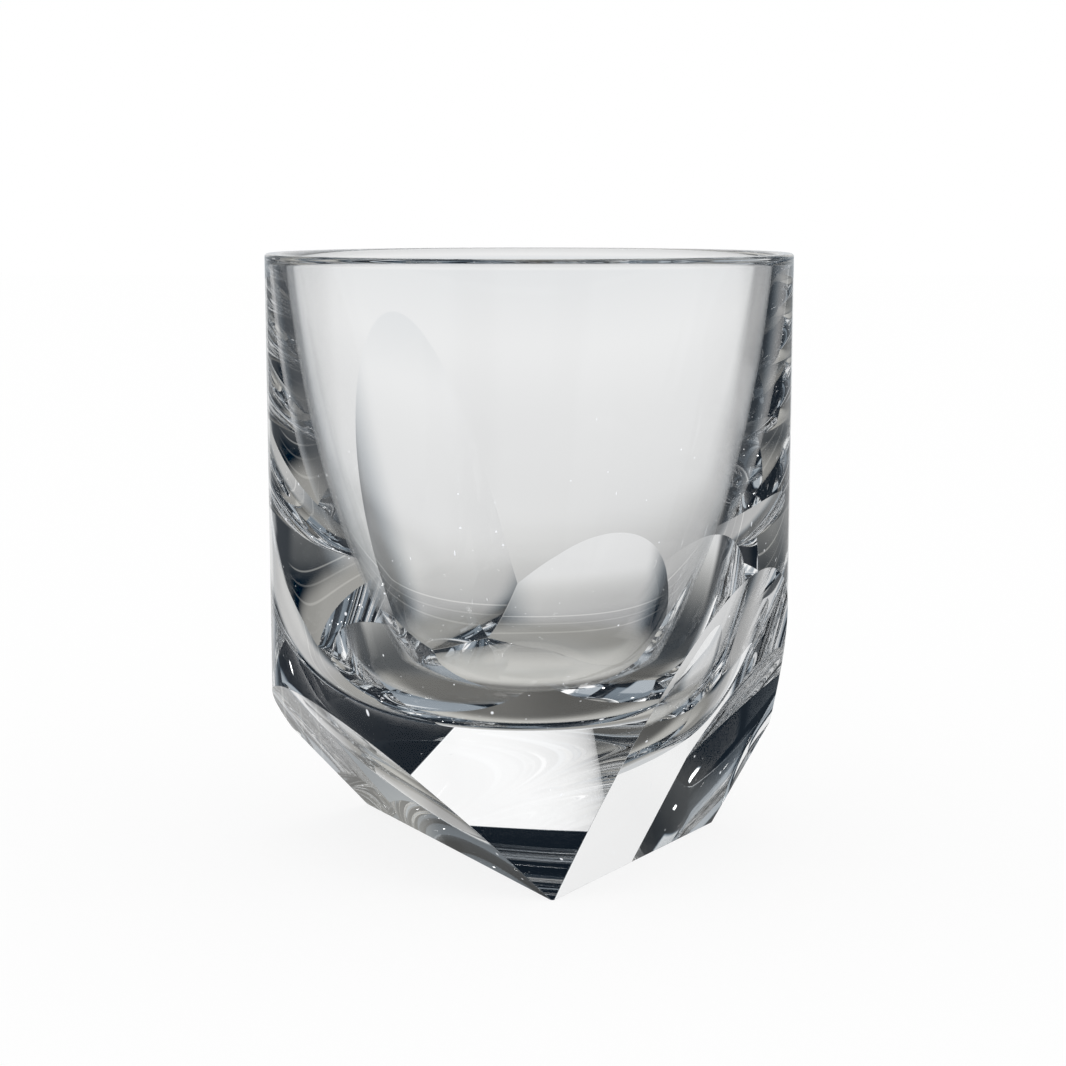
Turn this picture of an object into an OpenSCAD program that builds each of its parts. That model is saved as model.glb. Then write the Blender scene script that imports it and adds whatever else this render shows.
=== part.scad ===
// Crystal drinking glass: a heavy straight-sided tumbler whose foot is cut to flats on four sides.
// The origin is the middle of the foot, on the table. +Z is up and -Y is the front.

/* [Blank] */
// Height from the table to the rim
glass_height = 94.5; // [85:0.5:110]
// Width across the rim, outside
rim_width = 84; // [80:0.5:92]
// Width of the blank at the table, before the flats are cut
foot_width = 83.2; // [80:0.2:92]
// Radius of the lip's round on the outside
lip_radius = 0.5; // [0.3:0.1:0.8]

/* [Bowl] */
// Thickness of the wall at the rim
rim_wall = 3; // [2.9:0.1:4]
// Radius of the lip's wider round on the inside
inner_lip_radius = 1.8; // [1:0.1:2]
// Lean of the bowl's wall at the rim, in degrees from upright
mouth_lean = 3.8; // [2:0.2:6]
// Width of the bowl at its knee, where the wall starts to turn into the floor
knee_width = 53.5; // [48:0.5:58]
// Height of the knee above the table
knee_height = 33.6; // [31:0.2:38]
// Lean of the bowl's wall at the knee, in degrees from upright
knee_lean = 21.5; // [18:0.5:25]
// Thickness of the solid glass under the bowl
floor_thickness = 21.2; // [18:0.2:24]
// Width of the level middle of the bowl's floor
level_width = 15; // [8:0.5:24]

/* [Left front flat] */
// Bearing of the flat in degrees from the front, positive to the right
left_front_bearing = -62.7; // [-66:0.1:-58]
// Steepness of the flat in degrees above the table
left_front_steepness = 46.9; // [44:0.1:52]
// Distance from the axis to the flat's lower edge on the table
left_front_reach = 16.1; // [14:0.1:19]

/* [Right front flat] */
// Bearing of the flat in degrees from the front, positive to the right
right_front_bearing = 60.6; // [57:0.1:64]
// Steepness of the flat in degrees above the table
right_front_steepness = 68.7; // [65:0.1:72]
// Distance from the axis to the flat's lower edge on the table
right_front_reach = 23.6; // [21:0.1:26]

/* [Right back flat] */
// Bearing of the flat in degrees from the front, positive to the right
right_back_bearing = 147.2; // [143:0.1:151]
// Steepness of the flat in degrees above the table
right_back_steepness = 59.3; // [56:0.1:64]
// Distance from the axis to the flat's lower edge on the table
right_back_reach = 21.3; // [19:0.1:24]

/* [Left back flat] */
// Bearing of the flat in degrees from the front, positive to the right
left_back_bearing = -141.9; // [-146:0.1:-138]
// Steepness of the flat in degrees above the table
left_back_steepness = 83; // [81:0.1:85]
// Distance from the axis to the flat's lower edge on the table
left_back_reach = 32.1; // [30:0.1:34]

/* [Hidden] */

$fn = 180;
quarter_turn = 90;
rim_radius = rim_width / 2;
foot_radius = foot_width / 2;
mouth_radius = rim_radius - rim_wall;
knee_radius = knee_width / 2;
level_radius = level_width / 2;

// How far a cutting block runs past the blank on every side
block_reach = glass_height + rim_width;

// Steps of each round stretch in the turned outline
lip_steps = 8;
wall_steps = 18;
turn_steps = 14;

// Point at share t of the curve that leaves a towards b and arrives at c from b
function bend(a, b, c, t) = (1 - t) * (1 - t) * a + 2 * t * (1 - t) * b + t * t * c;

// Points of a round corner about a centre, from one angle to another, both ends kept
function corner(centre, radius, from, to) =
    [for (i = [0 : lip_steps])
        let (angle = from + (to - from) * i / lip_steps)
        centre + radius * [cos(angle), sin(angle)]];

// The wall leaves the mouth at its lean and reaches the knee at the knee's lean, so the handle of its
// curve is where the two leaning lines cross
wall_depth = glass_height - knee_height;
handle_drop = (mouth_radius - knee_radius - wall_depth * tan(knee_lean)) / (tan(mouth_lean) - tan(knee_lean));
mouth_point = [mouth_radius, glass_height];
wall_handle = [mouth_radius - handle_drop * tan(mouth_lean), glass_height - handle_drop];
knee_point = [knee_radius, knee_height];

// Below the knee the curve runs on at the knee's lean and turns level on the floor
turn_handle = [knee_radius - (knee_height - floor_thickness) * tan(knee_lean), floor_thickness];
level_point = [level_radius, floor_thickness];

bowl_outline = concat(
    [for (i = [1 : wall_steps]) bend(mouth_point, wall_handle, knee_point, i / wall_steps)],
    [for (i = [1 : turn_steps]) bend(knee_point, turn_handle, level_point, i / turn_steps)],
    [[0, floor_thickness]]);

lip_height = glass_height - lip_radius;
outer_lip = corner([rim_radius - lip_radius, lip_height], lip_radius, 0, quarter_turn);

// The inner round ends where it runs into the leaning wall
inner_lip_height = glass_height - inner_lip_radius;
inner_lip_end = inner_lip_height + inner_lip_radius * sin(mouth_lean);
inner_lip_centre = mouth_radius - (glass_height - inner_lip_end) * tan(mouth_lean)
    + inner_lip_radius * cos(mouth_lean);
inner_lip = corner([inner_lip_centre, inner_lip_height], inner_lip_radius, quarter_turn,
                   2 * quarter_turn - mouth_lean);

// The bowl's curve is kept only below the lip, whose corner takes the place of its first points
blank_outline = concat(
    [[0, 0], [foot_radius, 0]],
    outer_lip,
    inner_lip,
    [for (point = bowl_outline) if (point[1] < inner_lip_end) point]);

// The blank as it leaves the mould: straight outside, with the bowl pressed into it
module turned_blank() {
    rotate_extrude() polygon(blank_outline);
}

// Everything outside one flat. The flat meets the table at a distance from the axis and leans outwards
module outside_flat(bearing, steepness, reach) {
    rotate([0, 0, bearing - quarter_turn])
        translate([reach, 0, 0])
            rotate([0, quarter_turn - steepness, 0])
                translate([0, -block_reach, -block_reach])
                    cube([block_reach, 2 * block_reach, 2 * block_reach]);
}

// The whole glass is one piece of crystal: the blank with four flats ground and polished on its foot
module tumbler() {
    color("gainsboro")
        difference() {
            turned_blank();
            outside_flat(left_front_bearing, left_front_steepness, left_front_reach);
            outside_flat(right_front_bearing, right_front_steepness, right_front_reach);
            outside_flat(right_back_bearing, right_back_steepness, right_back_reach);
            outside_flat(left_back_bearing, left_back_steepness, left_back_reach);
        }
}

tumbler();
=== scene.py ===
"""A heavy crystal tumbler, dressed for its portrait.

The glass is one solid piece: a turned blank with a rounded bowl pressed into it, and a foot ground to
four slanting flats. Lengths are in metres, +Z is up, -Y is the front and the foot stands on z = 0.
"""

import math

import bpy
import numpy as np
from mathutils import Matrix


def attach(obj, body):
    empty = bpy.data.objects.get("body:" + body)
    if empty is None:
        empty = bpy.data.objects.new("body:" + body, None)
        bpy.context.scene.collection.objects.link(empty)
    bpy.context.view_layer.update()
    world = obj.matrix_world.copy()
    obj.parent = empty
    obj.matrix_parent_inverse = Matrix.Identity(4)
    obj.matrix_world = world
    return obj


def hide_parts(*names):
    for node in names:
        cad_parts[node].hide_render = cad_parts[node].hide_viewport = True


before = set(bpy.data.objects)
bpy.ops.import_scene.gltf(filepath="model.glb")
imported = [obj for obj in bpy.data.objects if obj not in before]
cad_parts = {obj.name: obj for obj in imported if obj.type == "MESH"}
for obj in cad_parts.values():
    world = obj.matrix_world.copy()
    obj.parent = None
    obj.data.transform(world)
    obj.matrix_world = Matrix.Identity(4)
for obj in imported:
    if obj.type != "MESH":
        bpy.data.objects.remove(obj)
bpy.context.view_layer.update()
scene = bpy.context.scene
mm = 0.001


# THE TUMBLER'S SHAPE
# The blank is turned glass: straight outside, with a deep bowl. Its lip is melted round in the flame, and
# the flats are ground on a wheel and polished, which leaves every cut edge with a hair of a round on it.

glass_height = 94.5 * mm
rim_radius = 42 * mm
foot_radius = 41.6 * mm
lip_radius = 0.5 * mm
inner_lip_radius = 1.8 * mm
mouth_radius = 39 * mm
mouth_lean = math.radians(3.8)
knee_radius = 26.75 * mm
knee_height = 33.6 * mm
knee_lean = math.radians(21.5)
floor_thickness = 21.2 * mm
level_radius = 7.5 * mm

# Each flat's bearing from the front, its steepness above the table, and how far from the axis it meets the
# table: right front, right back, left back, left front, in the order in which they follow round the foot
flat_bearings = np.radians([60.6, 147.2, -141.9, -62.7])
flat_steepness = np.radians([68.7, 59.3, 83.0, 46.9])
flat_reaches = np.array([23.6, 21.3, 32.1, 16.1]) * mm

edge_round = 0.12 * mm
edge_steps = 3
columns = 540
wall_rows = 10
lip_rows = 9
bowl_rows = 72
turn_rows = 44
level_rows = 6

lip_height = glass_height - lip_radius
wall_slope = (rim_radius - foot_radius) / lip_height
wall_tilt = math.atan(wall_slope)


def ring(bearings, radii, heights):
    """Points at bearings round the axis, at given radii and heights; 0 is the front, right is positive."""
    return np.stack(np.broadcast_arrays(radii * np.sin(bearings), -radii * np.cos(bearings), heights), -1)


def turned(a, b, share):
    """Directions a share of the way round from unit vector a to unit vector b, along the short arc."""
    angle = np.arccos(np.clip((a * b).sum(-1, keepdims=True), -1, 1))
    return (np.sin((1 - share) * angle) * a + np.sin(share * angle) * b) / np.sin(angle)


# Outward directions of the five polished planes, the underside last, and how far each lies from the origin
# once it is drawn in by the edge's round. The ball of that round, rolled inside, gives the shape back.
flat_count = len(flat_bearings)
underneath = flat_count
flat_outward = ring(flat_bearings, np.sin(flat_steepness), -np.cos(flat_steepness))
outward = np.vstack([flat_outward, [[0, 0, -1]]])
inset = np.append(flat_reaches * np.sin(flat_steepness), 0) - edge_round
foot_inset = foot_radius - edge_round / math.cos(wall_tilt)


def wall_outward(bearings):
    """Outward direction of the leaning outer wall at each bearing."""
    return ring(bearings, math.cos(wall_tilt), -math.sin(wall_tilt))


def cut_heights(bearings):
    """Height at which each of the five planes meets the drawn-in wall, one row to a plane.

    On the wall the radius is foot_inset + wall_slope * z, so outward . point = inset gives z directly."""
    across = np.cos(bearings - flat_bearings[:, None]) * np.sin(flat_steepness)[:, None]
    rise = np.cos(flat_steepness)[:, None] - wall_slope * across
    heights = (foot_inset * across - inset[:flat_count, None]) / rise
    return np.vstack([heights, np.full((1, bearings.size), edge_round)])


# The bearings where one cut gives way to the next, found on a fine sweep and then between its two readings
sweep = np.linspace(0, 2 * math.pi, 200001)
swept = cut_heights(sweep)
lowest_cut = swept.argmax(0)
changes = np.nonzero(np.diff(lowest_cut))[0]
before = swept[lowest_cut[changes], changes] - swept[lowest_cut[changes + 1], changes]
after = swept[lowest_cut[changes], changes + 1] - swept[lowest_cut[changes + 1], changes + 1]
corner_bearings = sweep[changes] + (sweep[1] - sweep[0]) * before / (before - after)
span_planes = lowest_cut[changes + 1]

surfaces = []


def add_surface(points, normals, faces):
    """Keeps one patch of the glass: its points, the way the glass faces there, and its faces."""
    points = np.asarray(points, float).reshape(-1, 3)
    normals = np.broadcast_to(normals, points.shape) if np.ndim(normals) == 1 else normals.reshape(-1, 3)
    surfaces.append((points, normals, faces))


def grid_faces(rows, count):
    """Four-cornered faces of a grid of points, rows by count."""
    corner = (np.arange(rows - 1)[:, None] * count + np.arange(count - 1)).ravel()
    return np.stack([corner, corner + 1, corner + count + 1, corner + count], -1)


def rounded_edge(ends, a, b):
    """The round along a straight edge between planes that face a and b: an arc carried end to end."""
    normals = turned(a, b, np.linspace(0, 1, edge_steps + 1)[:, None])
    points = np.asarray(ends)[None] + edge_round * normals[:, None]
    add_surface(points, np.repeat(normals[:, None], 2, 1), grid_faces(edge_steps + 1, 2))


def rounded_corner(point, a, b, c):
    """The little patch of a ball where three faces meet."""
    shares = np.linspace(0, 1, edge_steps + 1)[:-1, None]
    normals = np.vstack([turned(a, b, shares), turned(b, c, shares), turned(c, a, shares)])
    add_surface(point + edge_round * normals, normals, [np.arange(3 * edge_steps)])


# The outer wall, one span of bearings to each plane under it: a straight wall from the cut up to the lip,
# and the round of the cut edge below it
span_ends = np.append(corner_bearings[1:], corner_bearings[0] + 2 * math.pi)
wall_corners = []
all_bearings = []
flat_arcs = []
for start, end, plane in zip(corner_bearings, span_ends, span_planes):
    bearings = np.linspace(start, end, max(2, round(columns * (end - start) / (2 * math.pi)) + 1))
    cut = cut_heights(bearings).max(0)
    on_cut = ring(bearings, foot_inset + wall_slope * cut, cut)
    wall_face = wall_outward(bearings)
    share = np.linspace(0, 1, wall_rows)[:, None]
    bottom = on_cut + edge_round * wall_face
    top = ring(bearings, rim_radius, lip_height)
    add_surface(bottom * (1 - share[..., None]) + top * share[..., None],
                np.repeat(wall_face[None], wall_rows, 0), grid_faces(wall_rows, bearings.size))
    turn = np.linspace(0, 1, edge_steps + 1)[:, None, None]
    arc = turned(wall_face[None], outward[plane][None, None], turn)
    add_surface(on_cut[None] + edge_round * arc, arc, grid_faces(edge_steps + 1, bearings.size))
    flat_arcs.append(on_cut + edge_round * outward[plane])
    wall_corners.append(on_cut[0])
    all_bearings.append(bearings[:-1])
bearings = np.append(np.concatenate(all_bearings), corner_bearings[0] + 2 * math.pi)

# The corners of the foot's underside, each where two neighbouring flats and the table plane meet
span_count = len(span_planes)
foot_span = list(span_planes).index(underneath)
order = [span_planes[(foot_span + 1 + i) % span_count] for i in range(flat_count)]
arcs = [flat_arcs[(foot_span + 1 + i) % span_count] for i in range(flat_count)]
joints = [wall_corners[(foot_span + 2 + i) % span_count] for i in range(flat_count - 1)]
foot_corners = [np.linalg.solve(outward[[a, b, underneath]], inset[[a, b, underneath]])
                for a, b in zip(order, order[1:])]
tips = [wall_corners[(foot_span + 1) % span_count], wall_corners[foot_span]]

for (a, b), joint, foot_corner in zip(zip(order, order[1:]), joints, foot_corners):
    rounded_edge([joint, foot_corner], outward[a], outward[b])
    rounded_corner(joint, wall_outward(np.arctan2(joint[0], -joint[1])), outward[a], outward[b])
    rounded_corner(foot_corner, outward[a], outward[b], outward[underneath])

# Round the underside: from one end of the foot's tip, past the three corners, to the tip's other end
stops = [tips[0], *foot_corners, tips[1]]
for plane, arc, start, end in zip(order, arcs, stops, stops[1:]):
    rounded_edge([start, end], outward[plane], outward[underneath])
    # The flat itself: the arc along the wall above, and the inner foot corners it reaches below
    inner = [point for point in (end, start) if not any(point is tip for tip in tips)]
    outline = np.vstack([arc, *[point + edge_round * outward[plane] for point in inner]])
    add_surface(outline, outward[plane], [np.arange(len(outline))])
for tip, plane in zip(tips, (order[0], order[-1])):
    rounded_corner(tip, wall_outward(np.arctan2(tip[0], -tip[1])), outward[plane], outward[underneath])
underside = np.vstack([flat_arcs[foot_span], np.array(foot_corners) + edge_round * outward[underneath]])
add_surface(underside, outward[underneath], [np.arange(len(underside))])


def bend(a, b, c, share):
    """Point at each share of the curve that leaves a towards b and arrives at c from b, and its heading."""
    share = share[:, None]
    point = (1 - share) ** 2 * a + 2 * share * (1 - share) * b + share ** 2 * c
    heading = 2 * (1 - share) * (b - a) + 2 * share * (c - b)
    return point, heading / np.linalg.norm(heading, axis=1, keepdims=True)


# The lip and the bowl as one outline of (radius, height) points, from the outer wall's top over the lip,
# down the bowl's wall, round its knee and in to the middle of its floor
wall_depth = glass_height - knee_height
handle_drop = ((mouth_radius - knee_radius - wall_depth * math.tan(knee_lean))
               / (math.tan(mouth_lean) - math.tan(knee_lean)))
mouth_point = np.array([mouth_radius, glass_height])
wall_handle = mouth_point - handle_drop * np.array([math.tan(mouth_lean), 1])
knee_point = np.array([knee_radius, knee_height])
turn_handle_radius = knee_radius - (knee_height - floor_thickness) * math.tan(knee_lean)
turn_handle = np.array([turn_handle_radius, floor_thickness])
level_point = np.array([level_radius, floor_thickness])

inner_lip_height = glass_height - inner_lip_radius
lip_end_height = inner_lip_height + inner_lip_radius * math.sin(mouth_lean)
lip_end_radius = mouth_radius - (glass_height - lip_end_height) * math.tan(mouth_lean)
outer_turn = np.linspace(0, math.pi / 2, lip_rows)
inner_turn = np.linspace(math.pi / 2, math.pi - mouth_lean, lip_rows)
outer_lip = np.stack([np.cos(outer_turn), np.sin(outer_turn)], -1)
inner_lip = np.stack([np.cos(inner_turn), np.sin(inner_turn)], -1)
outer_centre = np.array([rim_radius - lip_radius, lip_height])
inner_centre = np.array([lip_end_radius + inner_lip_radius * math.cos(mouth_lean), inner_lip_height])

# The bowl's curve starts where the lip's round ends on it, a small share of the way down. Its height falls
# with the share, so the heights are turned over to look the share up.
fine_shares = np.linspace(0, 1, sweep.size)
fine_heights = bend(mouth_point, wall_handle, knee_point, fine_shares)[0][:, 1]
start_share = np.interp(-lip_end_height, -fine_heights, fine_shares)
wall_points, wall_heading = bend(mouth_point, wall_handle, knee_point,
                                 np.linspace(start_share, 1, bowl_rows)[1:])
turn_points, turn_heading = bend(knee_point, turn_handle, level_point, np.linspace(0, 1, turn_rows)[1:])
level_points = np.stack([np.linspace(level_radius, 0, level_rows + 1)[1:-1],
                         np.full(level_rows - 1, floor_thickness)], -1)
heading = np.vstack([wall_heading, turn_heading, np.tile([-1.0, 0.0], (level_rows - 1, 1))])
outline = np.vstack([outer_centre + lip_radius * outer_lip, inner_centre + inner_lip_radius * inner_lip,
                     wall_points, turn_points, level_points])
facing = np.vstack([outer_lip, inner_lip, np.stack([heading[:, 1], -heading[:, 0]], -1)])
outline_points = ring(bearings[None], outline[:, :1], outline[:, 1:])
outline_normals = ring(bearings[None], facing[:, :1], facing[:, 1:])
add_surface(outline_points, outline_normals, grid_faces(len(outline), bearings.size))
add_surface(outline_points[-1, :-1], np.array([0.0, 0.0, 1.0]), [np.arange(bearings.size - 1)])


# Points that lie this close are one point
weld_step = 0.00002 * mm


def build_glass(name):
    """Joins the patches at their shared points into one closed mesh that shades by its true directions.

    A face whose corners run the wrong way round for the direction it faces is turned over."""
    points = np.vstack([patch[0] for patch in surfaces])
    normals = np.vstack([patch[1] for patch in surfaces])
    offsets = np.cumsum([0] + [len(patch[0]) for patch in surfaces[:-1]])
    _, first, joined = np.unique(np.round(points / weld_step).astype(np.int64), axis=0,
                                 return_index=True, return_inverse=True)
    faces = []
    for (_, _, patch_faces), offset in zip(surfaces, offsets):
        corners = joined.ravel()[np.asarray(patch_faces) + offset]
        places = points[first[corners]]
        spokes = places - places.mean(1, keepdims=True)
        lean = np.cross(spokes, np.roll(spokes, -1, 1)).sum(1)
        backward = (lean * normals[first[corners]].sum(1)).sum(1) < 0
        faces += np.where(backward[:, None], corners[:, ::-1], corners).tolist()
    mesh = bpy.data.meshes.new(name)
    mesh.from_pydata(points[first].tolist(), [], faces)
    mesh.shade_smooth()
    mesh.normals_split_custom_set_from_vertices(normals[first].tolist())
    glass = bpy.data.objects.new(name, mesh)
    scene.collection.objects.link(glass)
    return glass


tumbler = build_glass("tumbler_glass")
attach(tumbler, "root")
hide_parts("tumbler")


# CLEAR CRYSTAL
# The glass is colourless and polished all over, and light bends in it as in lead-free crystal. What it has
# of its own is a cloudiness too faint to see. Small pale specks and threads on it are painted glints, which
# glow of themselves.

class Wire:
    """One number on its way through a material. Sums on wires add Math nodes to the material's tree."""

    def __init__(self, tree, socket):
        self.tree = tree
        self.socket = socket

    def maths(self, operation, *values):
        return node(self.tree, "ShaderNodeMath", {"operation": operation}, values)[0]

    def __add__(self, other):
        return self.maths("ADD", self, other)

    def __sub__(self, other):
        return self.maths("SUBTRACT", self, other)

    def __rsub__(self, other):
        return self.maths("SUBTRACT", other, self)

    def __mul__(self, other):
        return self.maths("MULTIPLY", self, other)

    def __truediv__(self, other):
        return self.maths("DIVIDE", self, other)

    def __abs__(self):
        return self.maths("ABSOLUTE", self)

    __radd__ = __add__
    __rmul__ = __mul__


def node(tree, kind, settings=(), values=()):
    """Adds a node: its settings first, then values or wires for its sockets, by name or in order.

    It returns the node's outputs as wires, and a shader that has no output returns nothing."""
    made = tree.nodes.new(kind)
    for name, value in dict(settings).items():
        setattr(made, name, value)
    for key, value in (values.items() if isinstance(values, dict) else enumerate(values)):
        if isinstance(value, Wire):
            tree.links.new(value.socket, made.inputs[key])
        elif value is not None:
            made.inputs[key].default_value = value
    return [Wire(tree, socket) for socket in made.outputs]


def new_material(name):
    """An empty node material and its tree."""
    material = bpy.data.materials.new(name)
    material.use_nodes = True
    material.node_tree.nodes.clear()
    return material, material.node_tree


def ease(tree, value, low, high):
    """0 below low, 1 above high and an even S between; high may be the lower of the two."""
    if high < low:
        return 1 - ease(tree, value, high, low)
    kind = {"interpolation_type": "SMOOTHSTEP"}
    return node(tree, "ShaderNodeMapRange", kind, (value, low, high, 0, 1))[0]


# Which output of Texture Coordinate is the place on the object, in metres
on_object = 3

crystal, tree = new_material("clear_crystal")
place = node(tree, "ShaderNodeTexCoord")[on_object]
height = node(tree, "ShaderNodeSeparateXYZ", {}, [place])[2]

# Specks are full-sized below the lower of these two heights and next to nothing above the upper one. Each
# is solid out to a share of its own radius and fades over the rest of it.
speck_heights = (50 * mm, 80 * mm)
least_speck = 0.05
solid_share = 0.6


def painted_glint_specks(cell, radius, tallness):
    """1 in the specks of painted glint strewn over the lower glass, at most one to a cell of space and most
    of them tiny.
    """
    squeezed = node(tree, "ShaderNodeMapping", {}, {"Vector": place, "Scale": (1, 1, 1 / tallness)})[0]
    distance, shade = node(tree, "ShaderNodeTexVoronoi", {}, {"Vector": squeezed, "Scale": 1 / cell})[:2]
    chance = node(tree, "ShaderNodeSeparateColor", {}, [shade])[0]
    full, gone = speck_heights
    size = radius * chance * chance * (least_speck + ease(tree, height, gone, full))
    return ease(tree, distance * cell / size, 1, solid_share)


# The melt's faint cloudiness takes up to a hundredth part of the light, and a hair less of the blue
melt = node(tree, "ShaderNodeTexNoise", {}, {"Vector": place, "Scale": 45.0, "Detail": 2.0})[0]
cloud = 1 - 0.01 * melt
tint = node(tree, "ShaderNodeCombineColor", {}, [cloud, cloud + 0.003, cloud + 0.005])[0]
clear = node(tree, "ShaderNodeBsdfPrincipled", {}, {
    "Base Color": tint, "Roughness": 0.0, "IOR": 1.52, "Transmission Weight": 1.0,
    "Specular Tint": (0.25, 0.25, 0.25, 1)})[0]

# Painted glints: round dots and upright threads that glow white of themselves, whatever light falls on them
painted_glint = node(tree, "ShaderNodeEmission", {}, [(0.95, 0.97, 1.0, 1), 1.0])[0]
dots = painted_glint_specks(4.5 * mm, 0.40 * mm, 1)
threads = painted_glint_specks(2.5 * mm, 0.15 * mm, 14)
painted_glint_share = 0.9 * dots.maths("MAXIMUM", dots, threads)
shader = node(tree, "ShaderNodeMixShader", {}, [painted_glint_share, clear, painted_glint])[0]
node(tree, "ShaderNodeOutputMaterial", {}, [shader])
tumbler.data.materials.append(crystal)


# THE CAMERA
# It looks down a little on the glass from the front, from about four glass heights away.

picture_width = 1066
focal_length_in_pixels = 2546.4
downward_tilt = 0.1319

camera = bpy.data.objects.new("camera", bpy.data.cameras.new("camera"))
camera.data.sensor_width = 36
camera.data.lens = camera.data.sensor_width * focal_length_in_pixels / picture_width
camera.data.clip_start = 0.01
camera.location = (0.6 * mm, -408.4 * mm, 103.6 * mm)
camera.rotation_euler = (math.pi / 2 - downward_tilt, 0, 0)
scene.collection.objects.link(camera)
scene.camera = camera


# THE FLOOR
# A pale sheet with a gloss. To the camera it is plain white, with the glass's faint shadow. What shows in
# the glass is light and shade painted on the sheet as a glow: dim close to the glass, white further out,
# and dark under painted shadows of flags.

floor_radius = 3.0
floor_corners = 64
under_the_foot = 0.05 * mm
gloss = 0.42
degrees = 180 / math.pi


def link_stage(name, points, faces, material):
    """A piece of the studio, not of the glass."""
    mesh = bpy.data.meshes.new(name)
    mesh.from_pydata(points.tolist(), [], [list(face) for face in faces])
    mesh.materials.append(material)
    piece = bpy.data.objects.new(name, mesh)
    scene.collection.objects.link(piece)
    return piece


sheet, tree = new_material("pale_sheet_painted_light")
place = node(tree, "ShaderNodeTexCoord")[on_object]
x, y, _ = node(tree, "ShaderNodeSeparateXYZ", {}, [place])
reach = x.maths("SQRT", x * x + y * y)
bearing = x.maths("ARCTAN2", x, y) * degrees

# The lane behind the glass is painted light: it widens with distance and grows lighter in the first hand's
# breadth
right_of_lane = x - 0.27 * y
left_of_lane = 0 - x - 0.35 * y
lane = (ease(tree, right_of_lane, 0.060, 0.034) * ease(tree, left_of_lane, 0.080, 0.055)
        * ease(tree, y, 0, 0.02))
painted_lane_light = (0.03 + 0.10 * ease(tree, y, 0.040, 0.060) + 0.22 * ease(tree, y, 0.055, 0.130)
       + 0.08 * ease(tree, y, 0.12, 0.45) + 0.10 * ease(tree, y, 0.4, 1.6)
       - 0.06 * ease(tree, x, -0.02, 0.03) * ease(tree, y, 0.20, 0.05))

# Painted highlights: thin bright lines across the sheet behind the glass, like the lit edges of sheets laid
# one over the next
for edge_at, strength in ((0.0497, 0.20), (0.0425, 0.08), (0.0352, 0.11)):
    painted_lane_light = painted_lane_light + strength * ease(tree, abs(y - edge_at), 0.0007, 0.0002)

# Painted shadow: beside the lane the sheet is painted dark as under two flags, and as under a narrow one in
# front; elsewhere it is white again
painted_dim = 0.02 + 0.05 * ease(tree, x, 0.01, -0.01)
painted_back_flag_shade = ease(tree, bearing, -88, -80) * ease(tree, bearing, 78, 70)
painted_front_flag_shade = ease(tree, abs(bearing + 157), 13, 5)
around = 0.65 * ease(tree, reach, 0.06, 0.12) * (1 - (painted_back_flag_shade + painted_front_flag_shade))

# Two soft patches of painted light beside the lane
painted_spill = (0.10 * ease(tree, abs(x + 0.065), 0.04, 0.015) * ease(tree, abs(y - 0.062), 0.04, 0.015)
         + 0.35 * ease(tree, abs(x - 0.19) + abs(y - 0.060), 0.07, 0.03))

# Right under the glass no gloss shows, and a soft bar of light is painted on the sheet there, where the
# glass would gather light
under = ease(tree, reach, 0.052, 0.036)
painted_gathered_light = (under * (0.08 + 0.24 * ease(tree, y, -0.012, 0.006))
            + 0.22 * ease(tree, abs(y - 0.008), 0.017, 0.008) * ease(tree, abs(x), 0.036, 0.015))
# All of this is light and shade painted into the sheet's glow, for the glass to show
light = painted_dim + around + painted_spill + painted_gathered_light + lane * (painted_lane_light - painted_dim)

# Close to the glass the painted light on the sheet is a warm white
painted_warmth = 0.07 * ease(tree, reach, 0.14, 0.06)
colour = node(tree, "ShaderNodeCombineColor", {}, [light, light * (1 - 0.2 * painted_warmth),
                                                   light * (1 - painted_warmth)])[0]
glow = node(tree, "ShaderNodeEmission", {}, [colour, 1.0])[0]
mirror = node(tree, "ShaderNodeBsdfGlossy", {}, [(gloss, gloss, gloss, 1), 0.0])[0]
polished = node(tree, "ShaderNodeAddShader", {}, [glow, mirror])[0]
glossy = node(tree, "ShaderNodeMixShader", {}, [under, polished, glow])[0]

# The camera's white sheet is mostly white of itself, and matt enough to keep a faint shadow
shadow_share = 0.14
white = node(tree, "ShaderNodeEmission", {}, [(1, 1, 1, 1), 1.0])[0]
matt = node(tree, "ShaderNodeBsdfDiffuse", {}, [(0.97, 0.97, 0.97, 1)])[0]
seen = node(tree, "ShaderNodeMixShader", {}, [shadow_share, white, matt])[0]
_, _, _, is_glossy, _, _, is_transmission, *_ = node(tree, "ShaderNodeLightPath")
in_glass = is_glossy.maths("MAXIMUM", is_glossy, is_transmission)
both = node(tree, "ShaderNodeMixShader", {}, [in_glass, seen, glossy])[0]
node(tree, "ShaderNodeOutputMaterial", {}, [both])
turn = np.linspace(0, 2 * math.pi, floor_corners + 1)[:-1]
link_stage("floor", ring(turn, floor_radius, -under_the_foot), [range(floor_corners)], sheet)


# THE STUDIO
# A dark tent round the glass, with soft boxes and small lamps hung in it. The camera looks past it, so only
# the glass shows it. A second tent, with one soft box behind and a paler top, shows in the sheet's gloss.

world = bpy.data.worlds.new("room_light")
world.use_nodes = True
world.node_tree.nodes["Background"].inputs[0].default_value = (1, 1, 1, 1)
world.node_tree.nodes["Background"].inputs[1].default_value = 1.0
scene.world = world

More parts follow.
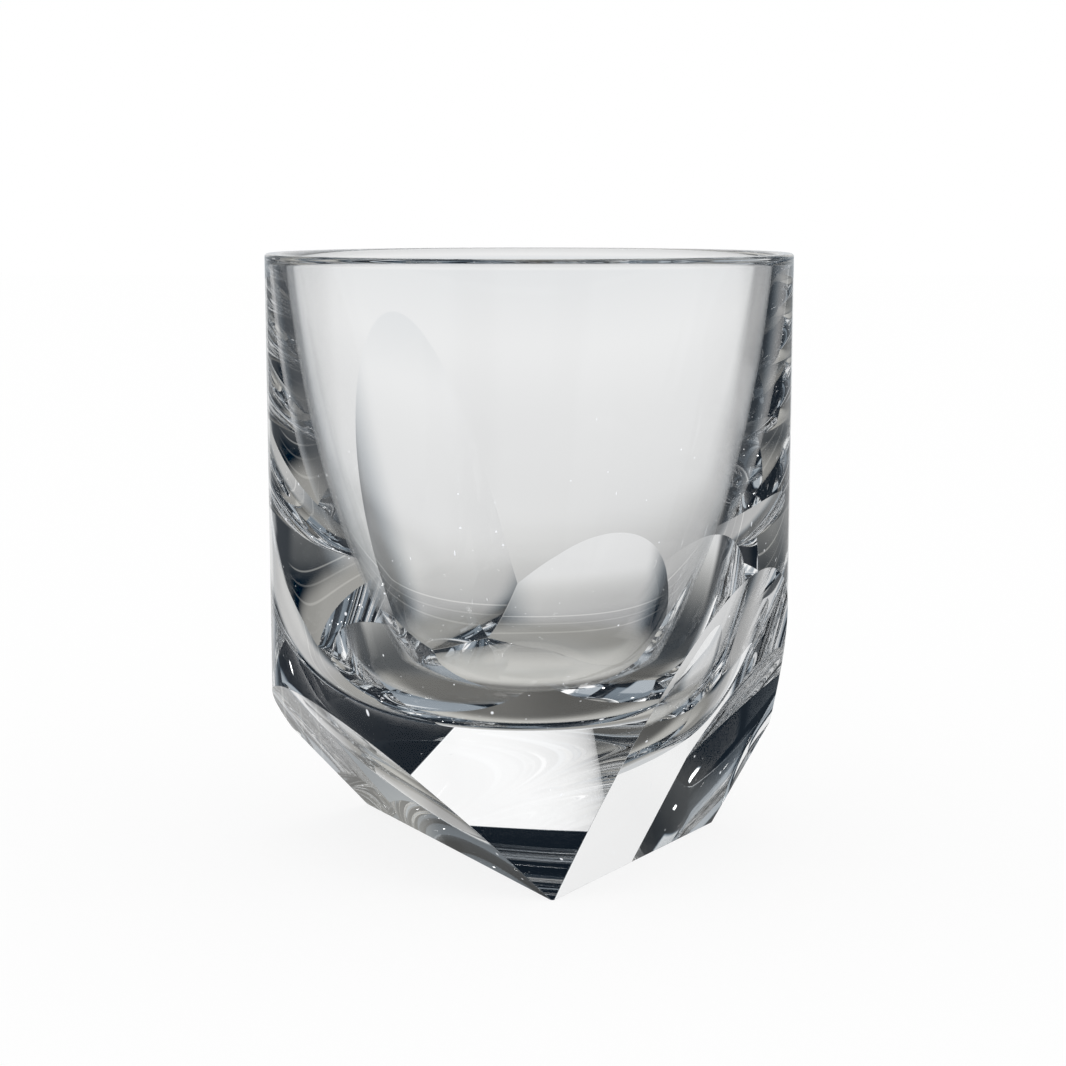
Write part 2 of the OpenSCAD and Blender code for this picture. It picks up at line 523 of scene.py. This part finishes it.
# Each soft box: from and to bearing from the back (right is positive), from and to elevation, how soft its
# edge is, in degrees, and its brightness
tent_boxes = [
    (-60, 60, 40, 92, 3, 0.22),
    (-52, 40, -8, 15, 5, 1.00),
    (-50, -14, 10, 24, 3, 1.05),
    (0, 60, 13, 40, 6, 0.33),
    (-50, -22, 28, 50, 3, 0.45),
    (62, 90, 60, 76, 3, 0.50),
    (62, 130, 33, 50, 3, 0.15),
    (62, 145, -8, 12, 3, 0.45),
    (-120, -60, -8, 30, 4, 0.45),
    (-148, -112, -3, 14, 3, 0.40),
    (-152, -128, 8, 20, 3, 0.75),
]

# Small bare lamps between the boxes, by bearing and elevation: what makes cut glass sparkle
lamps = [(-76, 22), (-74, 42), (43, 46), (45, 60), (98, 20), (100, 40), (150, 34), (148, 54), (-160, 33),
         (-163, 50), (-20, 60), (14, 70), (-104, 44)]
lamp_size = 2
lamp_edge = 1
lamp_brightness = 6.0
tent_boxes += [(left, left + lamp_size, low, low + lamp_size, lamp_edge, lamp_brightness)
               for left, low in lamps]
back_boxes = [(-26, 33, 0, 60, 20, 1.0), (-180, 180, 58, 120, 25, 0.33)]

# The domes' rings and posts, and how far they reach below the sheet and short of the top, in radians
dome_rings = 33
dome_posts = 97
dome_skirt = 0.02
dome_vent = 0.01


def hang_tent(name, radius, dark, boxes):
    """A dome of cloth about the glass: the dark cloth's own light, and soft boxes laid over it in turn."""
    cloth, tree = new_material(name)
    place = node(tree, "ShaderNodeTexCoord")[on_object]
    x, y, z = node(tree, "ShaderNodeSeparateXYZ", {}, [place])
    bearing = x.maths("ARCTAN2", x, y) * degrees
    elevation = z.maths("ARCSINE", z / radius) * degrees
    light = 0 * x + dark
    for left, right, low, high, soft, brightness in boxes:
        half = soft / 2
        across = (ease(tree, bearing, left - half, left + half)
                  * ease(tree, bearing, right + half, right - half))
        upward = (ease(tree, elevation, low - half, low + half)
                  * ease(tree, elevation, high + half, high - half))
        light = light + across * upward * (brightness - light)
    # Where a box fades into the dark, what is left of its light is a little blue
    faint = light.maths("MINIMUM", light, 1.0)
    red = light * light.maths("POWER", faint, 0.12)
    blue = light * light.maths("POWER", faint, -0.10)
    colour = node(tree, "ShaderNodeCombineColor", {}, [red, light, blue])[0]
    glow = node(tree, "ShaderNodeEmission", {}, [colour, 1.0])[0]
    node(tree, "ShaderNodeOutputMaterial", {}, [glow])
    rises = np.linspace(-dome_skirt, math.pi / 2 - dome_vent, dome_rings)
    turn = np.linspace(0, 2 * math.pi, dome_posts)
    points = ring(turn[None], radius * np.cos(rises)[:, None], radius * np.sin(rises)[:, None])
    tent = link_stage(name, points.reshape(-1, 3), grid_faces(dome_rings, dome_posts), cloth)
    tent.visible_camera = False
    tent.visible_diffuse = False
    tent.visible_shadow = False
    return tent


tent = hang_tent("tent", radius=2.9, dark=0.01, boxes=tent_boxes)
tent.visible_glossy = False
back_light = hang_tent("back_light", radius=2.8, dark=0.05, boxes=back_boxes)
back_light.visible_transmission = False


# LIGHT ENOUGH TO GET THROUGH
# Light turns back and forth many times inside the foot before it comes out, so it is followed that far.

scene.view_settings.view_transform = "Standard"
scene.cycles.max_bounces = 32
scene.cycles.transmission_bounces = 28
scene.cycles.glossy_bounces = 28
